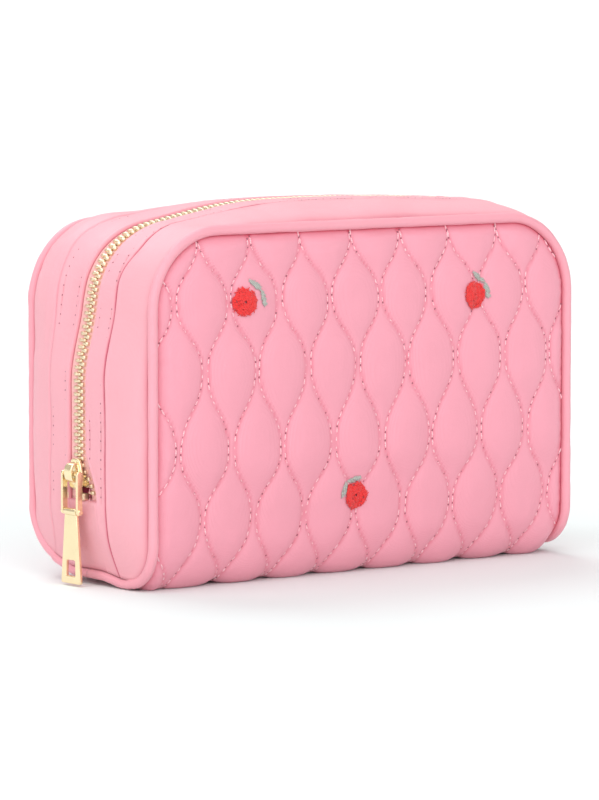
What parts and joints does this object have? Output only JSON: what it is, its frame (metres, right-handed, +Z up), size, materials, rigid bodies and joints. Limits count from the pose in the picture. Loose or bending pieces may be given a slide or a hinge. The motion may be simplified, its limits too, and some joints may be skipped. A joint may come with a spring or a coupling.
{
  "type": "makeup bag",
  "caption": "Soft zip-top makeup bag: quilted stuffed walls, piped gusset with a metal zip, a slider with a hanging pull, and a front wall that tips open.",
  "frame": {"origin": "centre of the base on the surface the bag stands on, midway between the front and back piping", "axes": "+X along the bag's length, the front wall faces -Y, +Z up; the zip's slider is on the -X end"},
  "size_m": [0.2457, 0.0961, 0.1595],
  "materials": {
    "satin": "quilted satin",
    "gussetSatin": "smooth satin",
    "pipingSatin": "smooth satin",
    "wadding": "soft matte",
    "lining": "plain weave",
    "tape": "woven tape",
    "brass": "polished",
    "bloomThread": "embroidery thread",
    "leafThread": "embroidery thread"
  },
  "bodies": {
    "bag_back": {"back_quilted_shell": "satin", "back_wadding": "wadding", "back_lining": "lining", "bottom_quilted_shell": "satin", "bottom_wadding": "wadding", "bottom_lining": "lining", "front_fold_shell": "satin", "front_fold_wadding": "wadding", "front_fold_lining": "lining", "back_gusset_band": "gussetSatin", "back_zip_facing": "gussetSatin", "back_gusset_lining": "lining", "back_zip_tape": "tape", "back_teeth_row": "brass", "back_piping": "pipingSatin", "back_top_stop": "brass", "bottom_stop": "brass", "left_end_gusset": "gussetSatin", "left_corner_gusset": "gussetSatin", "left_end_lining": "lining", "left_corner_piping": "pipingSatin", "right_end_gusset": "gussetSatin", "right_corner_gusset": "gussetSatin", "right_end_lining": "lining", "right_corner_piping": "pipingSatin"},
    "bag_front": {"front_quilted_shell": "satin", "front_wadding": "wadding", "front_lining": "lining", "front_gusset_band": "gussetSatin", "front_zip_facing": "gussetSatin", "front_gusset_lining": "lining", "front_zip_tape": "tape", "front_teeth_row": "brass", "front_piping": "pipingSatin", "front_top_stop": "brass", "flower_1_bloom": "bloomThread", "flower_1_leaf_1": "leafThread", "flower_1_leaf_2": "leafThread", "flower_2_bloom": "bloomThread", "flower_2_leaf_1": "leafThread", "flower_2_leaf_2": "leafThread", "flower_3_bloom": "bloomThread", "flower_3_leaf_1": "leafThread", "flower_3_leaf_2": "leafThread"},
    "zip_slider": {"slider_body": "brass", "slider_crown": "brass"},
    "pull_connector": {"pull_connector": "brass"},
    "pull_tab": {"pull_tab": "brass"}
  },
  "joints": [
    {"name": "mouth_open", "type": "hinge", "parent": "bag_back", "child": "bag_front", "pos_m": [0, -0.027, 0.022], "axis": [1, 0, 0], "range_deg": [0, 28], "deforming": ["front_fold_shell", "front_fold_wadding", "front_fold_lining", "left_corner_gusset", "right_corner_gusset", "left_end_lining", "right_end_lining", "left_corner_piping", "right_corner_piping"]},
    {"name": "zip_slide", "type": "slide", "parent": "bag_back", "child": "zip_slider", "axis": [0, 0, 1], "range_m": [0, 0.055], "deforming": ["front_teeth_row", "back_teeth_row"]},
    {"name": "connector_swing", "type": "hinge", "parent": "zip_slider", "child": "pull_connector", "pos_m": [-0.1233, 0, 0.0471], "axis": [0, 1, 0], "range_deg": [0, 110]},
    {"name": "tab_swing", "type": "hinge", "parent": "pull_connector", "child": "pull_tab", "pos_m": [-0.1233, 0, 0.0313], "axis": [0, 1, 0], "range_deg": [0, 60]}
  ]
}
